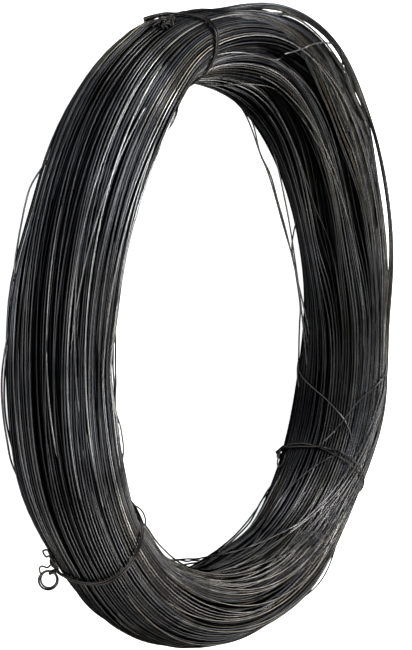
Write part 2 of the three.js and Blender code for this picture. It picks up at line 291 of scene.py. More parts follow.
def annealedWire(name, dark, cool, warm, roughness):
    # black annealed low-carbon steel: a thin dark oxide skin, drawn smooth, so it is nearly black face on
    # and gives a thin sharp line along each turn, bluish where the skin is thin, brown where rust has begun.
    # Colour: dark to light by the turn's tone, which on the wound and stray turns also holds painted light and
    # shade, plus a little noise, light itself from cool to warm by its warmth; roughness: from the first value
    # to the second by the tone
    material, tree, shader = newMaterial(name)
    tone = addNode(tree, "ShaderNodeAttribute", attribute_name="tone")
    warmth = addNode(tree, "ShaderNodeAttribute", attribute_name="warmth")
    place = addNode(tree, "ShaderNodeTexCoord")
    mottle = addNode(tree, "ShaderNodeTexNoise", {"Vector": place.outputs["Object"], "Scale": 1 / 0.018,
                                                  "Detail": 1.0, "Roughness": 0.5})
    spread = addNode(tree, "ShaderNodeMapRange", {"Value": mottle.outputs["Fac"], "To Min": 0.5,
                                                  "To Max": 1.5})
    mixed = addNode(tree, "ShaderNodeMath", {0: spread.outputs["Result"], 1: tone.outputs["Fac"]},
                    operation="MULTIPLY")
    light = addNode(tree, "ShaderNodeMix", {"Factor": warmth.outputs["Fac"], "A": linear(cool),
                                            "B": linear(warm)}, data_type="RGBA")
    colour = addNode(tree, "ShaderNodeMix", {"Factor": mixed.outputs[0], "A": linear(dark),
                                             "B": light.outputs["Result"]}, data_type="RGBA")
    polish = addNode(tree, "ShaderNodeMapRange", {"Value": tone.outputs["Fac"], "To Min": roughness[0],
                                                  "To Max": roughness[1]})
    tree.links.new(colour.outputs["Result"], shader.inputs["Base Color"])
    tree.links.new(polish.outputs["Result"], shader.inputs["Roughness"])
    shader.inputs["Specular Tint"].default_value = linear("#8a8a8a")
    shader.inputs["Metallic"].default_value = 1.0
    return material


def packedDark(name, colour):
    # the shade between packed turns, where hardly any light comes back: black to the colour by noise
    material, tree, shader = newMaterial(name)
    place = addNode(tree, "ShaderNodeTexCoord")
    grain = addNode(tree, "ShaderNodeTexNoise", {"Vector": place.outputs["Object"], "Scale": 1 / 0.012})
    shade = addNode(tree, "ShaderNodeMix", {"Factor": grain.outputs["Fac"], "A": linear("#050505"),
                                            "B": linear(colour)}, data_type="RGBA")
    tree.links.new(shade.outputs["Result"], shader.inputs["Base Color"])
    shader.inputs["Metallic"].default_value = 1.0
    shader.inputs["Roughness"].default_value = 0.6
    return material


view = {
    "azimuth": 59.63, "tilt": 7.43,  # seen from the near side, and above the bundle's end
    "distance": 1.914,
    "aimRight": -0.00611, "aimUp": 0.00047,
    "lens": 125.3, "sensor": 36,
    "pixels": (412, 650),  # across and down, for the places in it that are named below
}


def addCamera():
    # looks at the middle of the coil, with the coil's +Y upwards in the view
    th, ph = math.radians(view["azimuth"]), math.radians(view["tilt"])
    back = Vector((-math.sin(th) * math.cos(ph), math.sin(ph), math.cos(th) * math.cos(ph)))
    middle = Vector((*bundle["axis"], bundle["restHeight"]))
    up = Vector((0, 1, 0))
    right = (-back).cross(up).normalized()
    aim = (-back + right * view["aimRight"] + right.cross(-back) * view["aimUp"]).normalized()
    right = aim.cross(up).normalized()
    camera = bpy.data.objects.new("camera", bpy.data.cameras.new("camera"))
    camera.data.lens = view["lens"]
    camera.data.sensor_width = view["sensor"]
    turn = Matrix((right, right.cross(aim), -aim)).transposed()
    place = middle + back * view["distance"]
    camera.matrix_world = Matrix.Translation(place) @ turn.to_4x4()
    bpy.context.scene.collection.objects.link(camera)
    bpy.context.scene.camera = camera
    return np.array(place), np.array(aim), np.array(right), np.array(right.cross(aim))


cameraPlace, cameraAim, cameraRight, cameraUp = addCamera()

lamps = {
    # azimuth and elevation from the coil, watts, colour
    "high_back_strip": (105, 45, 25, "#f4f7ff"),
    "high_left_strip": (125, 45, 19, "#f4f7ff"),
    "near_strip": (168, 12, 26, "#ffffff"),
    "high_near_strip": (220, 60, 18, "#ffffff"),
    "high_front_strip": (228, 50, 16, "#ffffff"),
    "near_front_strip": (-120, 30, 10, "#fffcf8"),
    "front_strip": (-90, 40, 30, "#fff9ee"),
    "far_front_strip": (-45, 40, 9, "#fff9ee"),
    "far_strip": (-12, 32, 22, "#fff9ee"),
    "high_right_strip": (20, 55, 30, "#ffffff"),
    "far_right_strip": (28, 28, 9, "#ffffff"),
    "back_right_strip": (60, 40, 44, "#ffffff"),
    "overhead_strip": (0, 80, 10, "#ffffff"),
}

lampStrip = {"distance": 2.3, "length": 1.2, "height": 0.3}


def addLamp(name, azimuth, elevation, watts, colour):
    # a rectangular lamp that faces the middle of the coil, its long side level
    lamp = bpy.data.lights.new(name, "AREA")
    lamp.shape, lamp.energy = "RECTANGLE", watts
    lamp.size, lamp.size_y = lampStrip["length"], lampStrip["height"]
    lamp.color = linear(colour)[:3]
    az, el = math.radians(azimuth), math.radians(elevation)
    direction = Vector((math.cos(az) * math.cos(el), math.sin(az) * math.cos(el), math.sin(el)))
    box = bpy.data.objects.new(name, lamp)
    box.location = Vector((*bundle["axis"], bundle["restHeight"])) + direction * lampStrip["distance"]
    box.rotation_mode = "QUATERNION"
    box.rotation_quaternion = direction.to_track_quat("Z", "Y")
    bpy.context.scene.collection.objects.link(box)


for lampName, lampSettings in lamps.items():
    addLamp(lampName, *lampSettings)


def brightInView(tree, otherwise):
    # one for what the camera sees itself, and less for the light that falls on things
    path = addNode(tree, "ShaderNodeLightPath")
    strength = addNode(tree, "ShaderNodeMapRange", {"Value": path.outputs["Is Camera Ray"],
                                                    "To Min": otherwise, "To Max": 1.0})
    return strength.outputs["Result"]


def addStudio():
    # a dim room round a white backdrop: the backdrop shows white, and lights the steel only a little
    world = bpy.data.worlds.new("studio")
    world.use_nodes = True
    tree = world.node_tree
    tree.links.new(brightInView(tree, 0.05), tree.nodes["Background"].inputs["Strength"])
    tree.nodes["Background"].inputs["Color"].default_value = (1, 1, 1, 1)
    bpy.context.scene.world = world
    bpy.context.scene.view_settings.view_transform = "Standard"


addStudio()


def addFloor():
    # a pale sheet of opal acrylic, lit evenly from below, so that shadows on it stay soft and faint
    material, tree, shader = newMaterial("backlit opal acrylic")
    shader.inputs["Base Color"].default_value = linear("#d8d8d8")
    shader.inputs["Roughness"].default_value = 0.9
    shader.inputs["Emission Color"].default_value = linear("#ffffff")
    tree.links.new(brightInView(tree, 0.2), shader.inputs["Emission Strength"])
    mesh = bpy.data.meshes.new("floor")
    reach = 20.0  # metres
    mesh.from_pydata([(-reach, -reach, 0), (reach, -reach, 0), (reach, reach, 0), (-reach, reach, 0)], [],
                     [(0, 1, 2, 3)])
    mesh.materials.append(material)
    floor = bpy.data.objects.new("floor", mesh)
    bpy.context.scene.collection.objects.link(floor)


addFloor()
print("the camera, lights and floor are set")

winding = {
    "startAngle": 320,          # the turns pass from one to the next inside a tie
    "stations": 108,            # round each turn
    "nodes": 12,                # places round each turn where the spacing is set anew
    "sides": 6,
    "turns": (88, 96, 92, 84),  # in each layer
    "sinks": (0.0010, 0.0026, 0.0044, 0.0066),  # of the layers' middles under the surface
    "layerTurn": 137.5,         # degrees of the section from one layer's start to the next's
    "openFrom": 0.6,            # how unusual a gap must be to open, in standard deviations
    "openSize": 2.4,            # wire diameters it opens for each further one
    "lasting": 0.6,             # the share of a gap that lasts all round the coil
    "wobble": 0.15,             # degrees of the section that a turn wanders between its neighbours
    "lift": 0.0009,             # how far a turn wanders in and out
    "tiedLift": 0.3,            # the share of that inside a tie
    "straying": (0.2, 0.1, 0.0, 0.0),  # the share of each layer's turns that stray
    "strayReach": 6.0,          # degrees of the section that those wander
    "strayRise": 0.0014,        # and how much further out they lie
    "clear": 0.0030,            # the most that a turn rises over the surface
    "loft": 0.12,               # the most that a turn follows the cage of sprung ones
    "push": 1.5, "pushReach": 1.6,  # how a parting moves turns aside, and how far across
    "climbMiddle": 240, "climbSpread": 80,  # on the section, of the climb along the partings
    "climbReach": 46,           # and round the coil
}

toning = {
    "layers": ((0.10, 1.0), (0.02, 0.3), (0.0, 0.12), (0.0, 0.05)),  # painted shade: the inner layers' turns are darker, as the outer ones shade them
    "neighbours": 3,  # turns side by side that share a tone
    "middle": 0.4, "spread": 0.16,  # of those tones
    "own": 1.6,       # of each turn's own tone, its power and its gain
    "byRise": 0.25, "level": 0.75, "least": 0.2,  # painted shade: turns that lie further in are darker and those further out brighter
    "rust": 1.6,      # gain of each turn's own
    # where dull scale and painted shade even the turns: angle, reach, how far, and to which tone
    "dull": ((25, 60, 0.75, 0.11), (262, 54, 0.8, 0.25), (324, 20, 0.6, 0.16)),
}

rust = {"level": 0.3, "far": (320, 75, 0.25), "underKnot": (115, 14, 0.5)}  # angle, reach, how much more

# painted highlight and shade on the turns' tones: brighter and darker round the section as the light falls, by
# the ties and down in the partings
paintedLight = {
    "level": 0.85, "swing": 0.4, "side": 250,  # brightest at that place on the section
    "backTie": (112, 15, 0.95),  # angle, reach, how much more
    "rightTie": (333, 30, 0.8), "rightTieSide": 325,
    "lost": 0.92,  # of the light, down in a parting
}


def smoothed(values, width):
    # a running mean, applied twice, that keeps the ends
    for _ in range(2):
        padded = np.concatenate([np.full(width, values[0]), values, np.full(width, values[-1])])
        total = np.concatenate([[0], np.cumsum(padded)])
        values = ((total[width:] - total[:-width]) / width)[width // 2 + 1:][:len(values)]
    return values


def evened(tone, angle):
    # where dull scale is kept all turns come nearer to one tone; this is also painted shade, softening the
    # light on the far side and the bottom
    for middle, reach, share, dull in toning["dull"]:
        tone = tone + (dull - tone) * share * bell(middle, reach, angle, 4)
    return tone


def warmAt(angle):
    # the first rust shows most on the far side and under the back tie's knot, as a bell curve at each
    far, farReach, farMore = rust["far"]
    knot, knotReach, knotMore = rust["underKnot"]
    return rust["level"] + farMore * bell(far, farReach, angle, 4) + knotMore * bell(knot, knotReach, angle)


def paintedLightAt(angle, side):
    # painted light and shade: a cosine round the section paints the turns towards the bore brighter than the
    # outer ones, and those by the back tie brighter still, but by the right tie it is the other way about,
    # with painted shade on the bore side; painted shade in a parting, less by a bell curve across it
    back, backReach, backMore = paintedLight["backTie"]
    right, rightReach, rightMore = paintedLight["rightTie"]
    bright = paintedLight["level"] + paintedLight["swing"] * cosine(side - paintedLight["side"])
    bright = bright * (1 + backMore * bell(back, backReach, angle))
    turned = rightMore * cosine(side - paintedLight["rightTieSide"])
    bright = bright * (1 + bell(right, rightReach, angle) * turned)
    for parting in partings:
        along, across = acrossParting(parting, angle, side)
        bright = bright * (1 - paintedLight["lost"] * np.exp(-along ** 4 - across ** 2))
    return bright


def climbAt(angle, side):
    # on the full side the turns run along the partings, so they climb as the partings do
    away = turnBetween(partings[0]["angle"], angle)
    near = turnBetween(winding["climbMiddle"], side) / winding["climbSpread"]
    return partings[0]["climb"] * away * np.exp(-(away / winding["climbReach"]) ** 4 - near ** 4)


def windLayer(name, layer, seed):
    # one unbroken wire. Turns lie side by side; where a normal number for the gap passes openFrom the gap
    # opens, so turns gather in groups with dark gaps between, and at the ties all gaps are shut; the sums of
    # the gaps are the turns' places on the section, which each turn passes through in order
    rng = np.random.default_rng(seed)
    turns, stations, nodes = winding["turns"][layer], winding["stations"], winding["nodes"]
    along = np.arange(turns * stations + 1) / stations
    angle = winding["startAngle"] + 360 * along
    which = np.minimum(along.astype(int), turns - 1)
    nodeAngle = winding["startAngle"] + 360 * np.arange(nodes) / nodes
    loose = (1 - gripAt(nodeAngle) ** 0.5)[:, None]
    lasting, passing = winding["lasting"], math.sqrt(1 - winding["lasting"] ** 2)
    unusual = lasting * rng.normal(0, 1, turns) + passing * rng.normal(0, 1, (nodes, turns))
    gaps = 1 + loose * winding["openSize"] * np.maximum(unusual - winding["openFrom"], 0)
    places = 360 * (np.cumsum(gaps, axis=1) / np.sum(gaps, axis=1, keepdims=True))
    places -= np.mean(places - 360 * np.arange(turns) / turns, axis=1, keepdims=True)
    places += 360 / turns * np.arange(nodes)[:, None] / nodes
    strays = rng.random(turns) < winding["straying"][layer]
    wander = np.where(strays, winding["strayReach"], winding["wobble"])
    places += loose * wander * rng.normal(0, 1, (nodes, turns))
    held = winding["tiedLift"] + (1 - winding["tiedLift"]) * loose
    rises = held * rng.normal(0, winding["lift"], (nodes, turns)) + loose * strays * winding["strayRise"]
    nodeAlong = np.arange(nodes * turns) / nodes
    width = stations // nodes
    side = smoothed(np.interp(along, nodeAlong, places.T.ravel()), width) + winding["layerTurn"] * layer
    side = side + climbAt(angle, side)
    for parting in partings:
        there, across = acrossParting(parting, angle, side)
        aside = winding["push"] * across * np.exp(-across ** 2 / winding["pushReach"])
        side = side + np.exp(-there ** 4) * parting["breadth"] * aside
    rise = smoothed(np.interp(along, nodeAlong, rises.T.ravel()), width)
    highest = -wireRadius + winding["clear"] * (1 - gripAt(angle, side))
    height = np.minimum(rise - winding["sinks"][layer], highest)
    loft = rng.uniform(0, winding["loft"], turns)[which]
    corners, quads, caps = openTube(angle, side, height, loft, winding["sides"])
    piece = newPiece(name, corners, quads, caps, coilSteel)
    low, high = toning["layers"][layer]
    shared = smoothed(rng.random(turns), toning["neighbours"])
    shared = (shared - np.mean(shared)) / np.std(shared) * toning["spread"] + toning["middle"]
    own = toning["own"] * rng.random(turns) ** toning["own"]
    shine = (low + (high - low) * np.clip(shared, 0, 1) * own)[which]
    # partly dull scale, partly painted shade: the outer layer's tones evened round the coil
    shine = evened(shine, angle) if layer == 0 else shine
    # painted shade: a turn lying lower is darker
    shade = np.clip(rise / winding["lift"] * toning["byRise"] + toning["level"], toning["least"], 1)
    brown = (rng.random(turns) ** 2)[which] * warmAt(angle) * toning["rust"]
    # the turn's own tone, with painted shade by depth and painted light and shade round the section
    tone = shine * shade * paintedLightAt(angle, side)
    addTone(piece, np.repeat(tone, winding["sides"]), np.repeat(brown, winding["sides"]))
    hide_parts("wire_coil")


coilSteel = annealedWire("black annealed steel wire", "#060607", "#7b7e84", "#7d786c", (0.24, 0.14))
packedSteel = packedDark("shaded packed wire", "#0c0c0d")

for layer in range(len(winding["sinks"])):
    windLayer(f"wound_turns_{layer + 1}", layer, seed=11 + layer)
    print("wound layer", layer + 1)


core = {"sunk": 0.0098, "around": 180, "section": 48}


def packedCore():
    # the turns deep in the bundle, seen only as shade: the same oval ring, a little smaller
    around, section = core["around"], core["section"]
    angle = np.arange(around)[:, None] * 360 / around
    side = np.arange(section)[None, :] * 360 / section
    points = bundlePoint(angle + 0 * side, side + 0 * angle, -core["sunk"])
    i, k = np.meshgrid(np.arange(around), np.arange(section), indexing="ij")
    nextAround, nextSection = (i + 1) % around, (k + 1) % section
    quads = np.stack([i * section + k, nextAround * section + k, nextAround * section + nextSection,
                      i * section + nextSection], axis=-1).reshape(-1, 4)
    piece = newPiece("packed_turns", points, quads[:, ::-1], [], packedSteel)
    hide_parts("wire_coil")


packedCore()
print("packed turns")

cage = {
    # the sprung turns on the full side run from start to end, and round the section from edgeStart by climb,
    # at first slowly; the edge is where they stand clear as seen from beside the coil
    "start": 331, "end": 98, "endSpread": 4,
    "edgeStart": 306, "climb": 70,
    "stations": 72, "sides": 6,
    "root": 0.0040,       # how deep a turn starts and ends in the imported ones
    "stray": 0.35,        # degrees of the section that a turn wanders
    "ripple": 0.0006,     # and how far in and out
    "shareSpread": 0.03,  # of how far out the turns stand
    "crossing": 14,       # degrees of the coil that a crossing takes
    "overshoot": 1.2,     # of the slit's breadth
    "tones": (0.03, 0.35),
}

cageGroups = [
    # turns that lie side by side between two borders; a border is its distance in degrees from the edge, at
    # angles round the coil; shares are how far out to the cage the turns at the borders stand
    {"turns": 8, "shares": (1.02, 1.0),
     "borders": ([(-29, -8), (14, -7), (32, -10), (56, -14), (68, -8), (80, 4), (98, 4)],
                 [(-29, -30), (0, -34), (6, -33), (10, -29), (16, -27), (24, -25), (32, -22), (37, -20),
                  (39, -32), (44, -35), (48, -40), (51, -39), (54, -35), (60, -34), (73, -34), (78, -31),
                  (81, -27), (84, -20), (90, -13), (98, -8)])},
    {"turns": 4, "shares": (1.0, 0.97),
     "borders": ([(-29, -31), (-5, -38), (3, -36), (6, -36), (10, -40), (16, -42), (24, -41), (32, -38),
                  (36, -34), (38, -33), (42, -36), (44, -42), (46, -42), (47, -47), (49, -47), (51, -40),
                  (53, -38), (55, -44), (58, -45), (63, -44), (68, -43), (71, -38), (76, -36), (78, -38),
                  (80, -42), (83, -41), (86, -26), (88, -22), (90, -31), (92, -31), (93, -20),
                  (98, -16)],
                 [(-29, -38), (3, -43), (14, -46), (24, -45), (30, -42), (34, -42), (38, -42), (44, -47),
                  (49, -52), (53, -49), (62, -50), (76, -48), (81, -50), (86, -36), (98, -24)])},
    {"turns": 14, "shares": (0.96, 0.82),
     "borders": ([(-29, -40), (3, -45), (14, -48), (24, -47), (30, -47), (34, -47), (38, -44), (44, -50),
                  (48, -55), (50, -57), (59, -56), (61, -52), (76, -50), (81, -52), (86, -38),
                  (98, -26)],
                 [(-29, -62), (3, -62), (14, -67), (28, -72), (44, -84), (60, -87), (74, -80), (86, -64),
                  (98, -50)])},
    {"turns": 5, "shares": (0.98, 0.96),
     "borders": ([(-29, -4), (20, -4), (50, -12), (62, -8), (74, 8), (98, 14)],
                 [(-29, 14), (2, 22), (6, 14), (12, 12), (20, 8), (28, 3), (33, 0), (37, 8), (44, 12),
                  (50, 3), (56, 4), (62, 8), (68, 16), (74, 34), (80, 42), (98, 40)])},
    {"turns": 9, "shares": (0.94, 0.9),
     "borders": ([(-29, 36), (2, 42), (20, 40), (38, 34), (50, 28), (56, 29), (62, 35), (68, 50),
                  (74, 64), (98, 65)],
                 [(-29, 76), (50, 70), (98, 100)])},
]

cageCrossings = (73, 52, 41, 39, 2)   # where a turn passes from the first group to the second


def cageTurn(rng, away, share):
    # from one tie to the next, out to its share of the cage and back, with a slow wander of two sines
    along = np.linspace(0, 1, cage["stations"])
    spread = cage["endSpread"]
    start = cage["start"] - 360 + rng.uniform(-spread, spread)
    end = cage["end"] + rng.uniform(-spread, spread)
    angle = start + (end - start) * along
    phase = rng.uniform(0, 2 * np.pi, 2)
    stray = np.sin(2 * np.pi * along + phase[0]) + 0.5 * np.sin(5 * np.pi * along + phase[1])
    passed = (angle + 360 - cage["start"]) / (cage["end"] + 360 - cage["start"])
    edge = cage["edgeStart"] + cage["climb"] * passed ** 2
    side = edge + away(angle) + cage["stray"] * stray
    height = (1 - np.sin(np.pi * along) ** 0.5) * -cage["root"] - wireRadius
    height += cage["ripple"] * np.sin(np.pi * along) * np.sin(3 * np.pi * along + phase[0])
    return openTube(angle, side, height, share - rng.uniform(0, cage["shareSpread"]), cage["sides"])


def between(outer, inner, share):
    # a line between two borders, at a share of the way that may change along it
    def away(angle):
        first, last = np.interp(angle, *np.transpose(outer)), np.interp(angle, *np.transpose(inner))
        return smoothed(first + (last - first) * (share(angle) if callable(share) else share), 3)
    return away


def sprungTurns():
    # each group's turns side by side between its borders, then single ones that cross the slit between two
    rng = np.random.default_rng(41)
    tubes = []
    for group in cageGroups:
        first, last = group["shares"]
        for place in np.linspace(0, 1, group["turns"]):
            tubes.append(cageTurn(rng, between(*group["borders"], place), first + place * (last - first)))
    slit = cageGroups[0]["borders"][1], cageGroups[1]["borders"][0]
    for middle in cageCrossings:
        turned = rng.choice([-1, 1])

        def passing(angle):
            done = smoothstep(angle - middle + cage["crossing"] / 2, cage["crossing"])
            return 0.5 + cage["overshoot"] * turned * (done - 0.5)

        tubes.append(cageTurn(rng, between(*slit, passing), 1.0))
    corners, quads, caps = joinedTubes(tubes)
    piece = newPiece("sprung_turns", corners, quads, caps, coilSteel)
    each = len(corners) // len(tubes)
    tones = rng.uniform(*cage["tones"], len(tubes))
    addTone(piece, np.repeat(tones, each), np.repeat(rng.random(len(tubes)) ** 2, each))
    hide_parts("wire_coil")


sprungTurns()
print("sprung turns")

seenTurns = {
    # where a loose turn or curl is seen: pixels to the right and down in the view, and place on the section
    "lowerLeft": [(145, 525, 220), (154, 538, 220), (160, 545.5, 220), (166, 551.5, 220),
                  (172, 557, 220), (178, 561.5, 218), (186, 566, 214), (194, 569, 208), (202, 570, 200),
                  (210, 570, 192)],
    "lowest": [(170, 560, 210), (178, 559.5, 205), (192, 559, 195), (206, 557, 188), (222, 554.5, 182)],
    "overHole": [(268, 490, 130), (258, 507, 130), (250, 518, 130), (240, 530, 132), (228, 541.5, 138),
                 (216, 551, 148), (210, 555, 156), (204, 559, 164), (196, 564, 172), (188, 568, 180)],
    "rightOfHole": [(292, 250, 140), (295.5, 272, 138), (298.3, 290, 134), (300.3, 308, 130),
                    (299.6, 323, 130), (299, 340, 130), (298.6, 358, 130)],
    "belowHole": [(262, 500, 126), (250, 522, 128), (238, 535, 132), (224, 547, 142), (212, 556, 154),
                  (200, 560.5, 168), (190, 561, 182), (180, 560, 198)],
    "longCurl": [(145, 528, 222), (145.5, 520, 220), (143, 512.5, 220), (139, 508, 220),
                 (134, 505, 220)],
}


def inView(points):
    # pixels to the right and down: how far across over how far ahead, times the lens's focal length in
    # pixels, from the middle of the view
    focal = view["lens"] / view["sensor"] * max(view["pixels"])
    ray = points - cameraPlace
    ahead = ray @ cameraAim
    return np.stack([view["pixels"][0] / 2 + focal * (ray @ cameraRight) / ahead,
                     view["pixels"][1] / 2 - focal * (ray @ cameraUp) / ahead], axis=-1)


search = {
    "reach": 60, "every": 5,    # degrees about the first angle
    "rounds": 20,
    "nudge": (0.01, 1e-5),      # degrees and metres, to measure a slope by
    "farthest": (5, 0.005),     # that one step goes
    "within": 0.1,              # pixels
}


def seenAt(name, near, rise=wireRadius):
    # knots where a turn is seen: the angle and height whose place is at its pixels, by Newton's steps from
    # angles all about near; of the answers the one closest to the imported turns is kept, and rise is added
    across, down, side = np.transpose(seenTurns[name])[:, :, None]
    target = np.concatenate([across, down], axis=1)[:, None]
    angle = near + np.arange(-search["reach"], search["reach"] + 1, search["every"]) + 0 * across
    height = 0 * angle
    nudge, farthest = np.array(search["nudge"]), np.array(search["farthest"])

    def missAt(angle, height):
        return target - inView(bundlePoint(angle, side, height))

    for _ in range(search["rounds"]):
        miss = missAt(angle, height)
        byAngle = miss - missAt(angle + nudge[0], height)
        byHeight = miss - missAt(angle, height + nudge[1])
        slopes = np.stack([byAngle, byHeight], axis=-1)
        step = np.clip(np.linalg.solve(slopes / nudge, miss[..., None])[..., 0], -farthest, farthest)
        angle, height = angle + step[..., 0], height + step[..., 1]
    fits = np.linalg.norm(missAt(angle, height), axis=-1) < search["within"]
    if not fits.any(axis=1).all():
        raise ValueError(name + " isn't on the bundle")
    best = np.argmin(np.where(fits, np.abs(height), np.inf), axis=1)[:, None]
    angle, height = np.take_along_axis(angle, best, 1), np.take_along_axis(height, best, 1)
    return np.concatenate([angle, side, 1000 * (height + rise)], axis=1).tolist()


strays = [
    # turns that lie across the others or stand clear: angle, place on the section, and how high the wire's
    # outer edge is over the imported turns, in millimetres
    [(142, 58, -4), (144, 58, -1), (147, 58, 3.6), (150, 58, 6.8), (153, 58, 7), (156, 58, 6),
     (160, 58, 4.2), (164, 58, 2), (169, 58, -3)],
    [(170, 56, -4), (176, 55, 0.5), (182, 55, 4), (188, 55, 4.5), (194, 55, 3), (198, 54, 1.8),
     (204, 53, -4)],
    [(168, 58, -4), (176, 57, -0.5), (184, 56, 2.5), (190, 57, 2.5), (197, 58, -1), (204, 58, -4)],
    [(170, 238, -4), (175, 239, 2.2), (180, 240, 4.6), (184, 240, 4.4), (188, 240, 1.5), (194, 240, -2)],
    [(171, 236, -4), (176, 237, 1.2), (181, 238, 3.0), (186, 238, 2.6), (191, 239, 0), (196, 240, -3)],
    [(187, 236, -2), (192, 237, 1.8), (195, 237, 2.6), (199, 237, 1.8), (203, 236, -3)],
    [(121, 243, -2), (125, 244, 1.6), (129, 244, 1.4), (134, 242, -3)],
    [(145, 240, -3), (149, 241, 1.2), (153, 241, 1), (158, 240, -2)],
    [(80, 153, -4), (66, 150, 1.5), (52, 150, 10.5), (44, 150, 12.5), (26, 150, 15.5), (9, 150, 11.6),
     (-3, 150, 8.6), (-15, 151, -3)],
    [(76, 152, -3), (62, 150, 1), (51, 151, 11), (41, 150, 11.5), (30, 150, 14), (12, 150, 12.8),
     (0, 150, 7.4), (-12, 150, -3)],
    [(56, 150, -3), (45, 150, 1), (31, 150, 7), (15, 150, 10.4), (3, 150, 10), (-8, 150, 6.2),
     (-20, 150, -3)],
    [(348, 118, -2), (342, 137, 3.2), (336, 177, 2), (332, 202, 2), (328, 225, 1), (323, 243, -2)],
    [(322, 190, -2), (327, 207, 2), (336, 232, 2), (344, 275, 2), (351, 292, -2)],
    [(322, 220, -1), (316, 197, 2), (308, 179, 2), (299, 175, 2), (287, 181, 2), (274, 186, -3)],
    [(236, 210, -3), (248, 216, 3.1), (261, 217, 2.7), (274, 216, 2), (290, 231, 2), (306, 240, 1.5),
     (318, 245, -2)],
    [(218, 220, -2), *seenAt("lowerLeft", 240), (264, 186, -2)],
    [(234.5, 212, -2), *seenAt("lowest", 250), (279, 184, 2.2), (287, 196, 1.8), (295, 210, 1.8),
     (303, 220, -1.5)],
    [(313, 130, -3), *seenAt("overHole", 280), (247, 186, -2)],
    [(24, 140, -3), (19, 140, 5), *seenAt("rightOfHole", 0), (-19, 132, 3), (-25, 133, -3)],
    [(311, 126, -3), *seenAt("belowHole", 280), (237, 206, -2)],
    [(310, 300, -4), (301, 300, 1.5), (294, 300, 3.5), (287, 300, 1.5), (279, 300, -4)],
    [(206, 225, -3), (216, 225, 1), (226, 225, 1.5), (236, 225, 1.5), (246, 223, 3.7), (260, 220, -2)],
    [(224, 226, -3), (235, 225, 1), (253, 190, 10), (272, 150, 3), (293, 150, 2), (307, 150, 2),
     (319, 150, -2)],
    [(106, 259, 0), (96, 255, 4), (90, 251, 5), (84, 252, 5.5), (78, 266, 7.5), (72, 284, 10),
     (65, 298, 13), (60, 305, 11.5), (56, 309, 6), (52, 311, 0)],
    [(108, 174, -2), (98, 185, 2), (88, 208, 2), (79, 216, 2), (67, 217, 1.5), (57, 218, -2)],
]

crossings = {
    # turns that run askew over the others between two ties: first and last angle, how many, how far they
    # climb or fall round the section, in degrees
    "spans": ((120, 210, 30), (224, 314, 34), (-28, 98, 10)),
    "length": (40, 84), "climb": (2, 24), "sides": (180, 400),
    "rise": 0.0014, "root": 0.0030,
    "flatness": 0.4,  # the power of the sine that takes them up and down
    "tones": (0.1, 0.8), "stations": 40,
}

climbers = {
    # turns that cross from the bore to the outside under the right tie, side by side
    "start": 272, "end": 372, "turns": 14,
    "startSpread": (-14, 14), "endSpread": (-24, 10),
    "sides": (200, 258), "climb": (92, 56),  # of the first and the last of them
    "wander": 4,  # degrees of the section
    "tones": (0.1, 0.4), "stations": 60,
}

looseWire = {"sides": 6, "tones": (0.25, 0.7), "warmth": 0.4, "steps": 10}


def placedTurns(rng):
    # a smooth line through each turn's knots
    for knots in strays:
        angle, side, height = through(unwound(knots), looseWire["steps"]).T
        tube = openTube(angle, side, height / 1000 - wireRadius, 0.0, looseWire["sides"])
        yield tube, evened(rng.uniform(*looseWire["tones"]), angle)


def askewHeight(along):
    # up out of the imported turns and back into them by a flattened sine
    down = 1 - np.sin(np.pi * along) ** crossings["flatness"]
    return crossings["rise"] - crossings["root"] * down - wireRadius


def askewTurns(rng):
    # straight runs in angle and place on the section
    along = np.linspace(0, 1, crossings["stations"])
    for first, last, count in crossings["spans"]:
        for _ in range(count):
            length = rng.uniform(*crossings["length"])
            angle = rng.uniform(first, last - length) + length * along
            climb = rng.uniform(*crossings["climb"]) * rng.choice([-1, 1])
            side = rng.uniform(*crossings["sides"]) + climb * along
            # own tone, evened, with painted light and shade round the section
            tone = evened(rng.uniform(*crossings["tones"]), angle) * paintedLightAt(angle, side)
            yield openTube(angle, side, askewHeight(along), 0.0, looseWire["sides"]), tone


def climbingTurns(rng):
    # a smooth step round the section from the first turn's climb to the last one's, with a sine's wander
    along = np.linspace(0, 1, climbers["stations"])
    for place in np.linspace(0, 1, climbers["turns"]):
        first = climbers["start"] + rng.uniform(*climbers["startSpread"])
        last = climbers["end"] + rng.uniform(*climbers["endSpread"])
        angle = first + (last - first) * along
        done = smoothstep((angle - climbers["start"]) / (climbers["end"] - climbers["start"]), 1)
        start = np.interp(place, (0, 1), climbers["sides"])
        climb = np.interp(place, (0, 1), climbers["climb"])
        wander = climbers["wander"] * rng.normal() * np.sin(2 * np.pi * (along + rng.random()))
        tube = openTube(angle, start + climb * done + wander, askewHeight(along), 0.0, looseWire["sides"])
        yield tube, evened(rng.uniform(*climbers["tones"]), angle)


def strayTurns():
    rng = np.random.default_rng(52)
    turns = [*placedTurns(rng), *askewTurns(rng), *climbingTurns(rng)]
    corners, quads, caps = joinedTubes([tube for tube, _ in turns])
    piece = newPiece("stray_turns", corners, quads, caps, coilSteel)
    tones = np.repeat(np.concatenate([tone for _, tone in turns]), looseWire["sides"])
    addTone(piece, tones, np.full(len(tones), looseWire["warmth"]))
    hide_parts("wire_coil")


strayTurns()
print("stray turns")

tieWire = {
    "radius": 0.0008,
    "gap": 0.0003,      # between a tie and the turns under it
    "knotSpacing": 0.00144,
    "knotShare": 0.08,  # of its round, over which they run together to the knot
    "pitch": 0.0075,    # of the twisted tail
    "tailRoot": 0.001,  # how far inside the knot the tail starts
    "sides": 10,
    "stations": {"round": 181, "tail": 60, "lump": 48, "eye": 72},
    "lumpEnds": 0.55, "lumpPower": 0.6,  # how full a lump is at its ends, and how quickly it fills out
    "curlShare": 0.9, "curlSides": 8,  # loose ends are a little thinner where they were bent
    "tone": 0.3, "warmth": 0.5,
}

